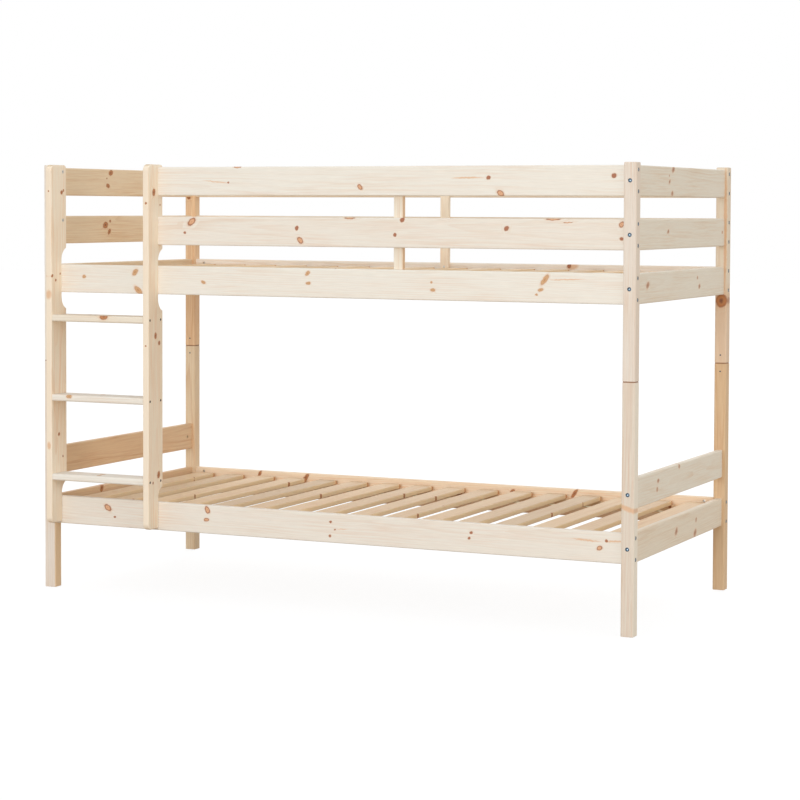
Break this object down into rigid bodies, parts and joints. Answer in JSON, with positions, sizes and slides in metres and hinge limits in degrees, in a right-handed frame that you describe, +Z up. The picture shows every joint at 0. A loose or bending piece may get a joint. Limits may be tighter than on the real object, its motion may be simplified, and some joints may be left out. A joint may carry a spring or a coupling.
{
  "type": "bunk bed with ladder",
  "caption": "Pine bunk bed with slatted bases, guard rails round the upper berth and a notched ladder; posts split so the upper bed lifts off.",
  "frame": {"origin": "centre of the bed's outline on the floor, ladder included", "axes": "+X along the bed to the end away from the ladder, +Y from the ladder side to the wall side, +Z up"},
  "size_m": [2.06, 1.01, 1.4],
  "materials": {
    "post_pine": "planed, untreated",
    "rail_pine": "planed, untreated",
    "end_rail_pine": "planed, untreated",
    "upright_pine": "planed, untreated",
    "ladder_pine": "planed, untreated",
    "slat_pine": "sawn and planed, untreated",
    "zinc_steel": "bright zinc plated",
    "strap_webbing": "flat woven"
  },
  "bodies": {
    "lower_bed": {"front_left_lower_post": "post_pine", "front_right_lower_post": "post_pine", "left_head_rail": "end_rail_pine", "left_lower_end_rail": "end_rail_pine", "lower_barrel_nuts": "zinc_steel", "lower_end_rail_bolts": "zinc_steel", "lower_front_ledge": "rail_pine", "lower_front_side_rail": "rail_pine", "lower_ledge_screws": "zinc_steel", "lower_pin_screws": "zinc_steel", "lower_rear_ledge": "rail_pine", "lower_rear_side_rail": "rail_pine", "lower_side_rail_bolts": "zinc_steel", "post_pins": "zinc_steel", "rear_left_lower_post": "post_pine", "rear_right_lower_post": "post_pine", "right_head_rail": "end_rail_pine", "right_lower_end_rail": "end_rail_pine"},
    "upper_bed": {"front_guard_upright": "upright_pine", "front_left_upper_post": "post_pine", "front_middle_guard_rail": "rail_pine", "front_right_upper_post": "post_pine", "front_top_guard_rail": "rail_pine", "guard_rail_bolts": "zinc_steel", "ladder_left_stile": "ladder_pine", "ladder_low_tread": "ladder_pine", "ladder_middle_tread": "ladder_pine", "ladder_post_bolts": "zinc_steel", "ladder_right_stile": "ladder_pine", "ladder_sleeve_nuts": "zinc_steel", "ladder_top_tread": "ladder_pine", "left_upper_middle_end_rail": "end_rail_pine", "left_upper_side_end_rail": "end_rail_pine", "left_upper_top_end_rail": "end_rail_pine", "rear_guard_upright": "upright_pine", "rear_left_upper_post": "post_pine", "rear_middle_guard_rail": "rail_pine", "rear_right_upper_post": "post_pine", "rear_top_guard_rail": "rail_pine", "right_upper_middle_end_rail": "end_rail_pine", "right_upper_side_end_rail": "end_rail_pine", "right_upper_top_end_rail": "end_rail_pine", "tread_screws": "zinc_steel", "upper_barrel_nuts": "zinc_steel", "upper_end_rail_bolts": "zinc_steel", "upper_front_ledge": "rail_pine", "upper_front_side_rail": "rail_pine", "upper_ledge_screws": "zinc_steel", "upper_pin_screws": "zinc_steel", "upper_rear_ledge": "rail_pine", "upper_rear_side_rail": "rail_pine", "upper_side_rail_bolts": "zinc_steel", "upright_screws": "zinc_steel"},
    "lower_slat_base": {"lower_slats": "slat_pine", "lower_slat_straps": "strap_webbing"},
    "upper_slat_base": {"upper_slats": "slat_pine", "upper_slat_straps": "strap_webbing"}
  },
  "joints": [
    {"name": "upper_bed_lift", "type": "slide", "parent": "lower_bed", "child": "upper_bed", "axis": [0, 0, 1], "range_m": [0, 0.15]},
    {"name": "lower_slats_lift", "type": "slide", "parent": "lower_bed", "child": "lower_slat_base", "axis": [0, 0, 1], "range_m": [0, 0.3]},
    {"name": "upper_slats_lift", "type": "slide", "parent": "upper_bed", "child": "upper_slat_base", "axis": [0, 0, 1], "range_m": [0, 0.4]}
  ]
}
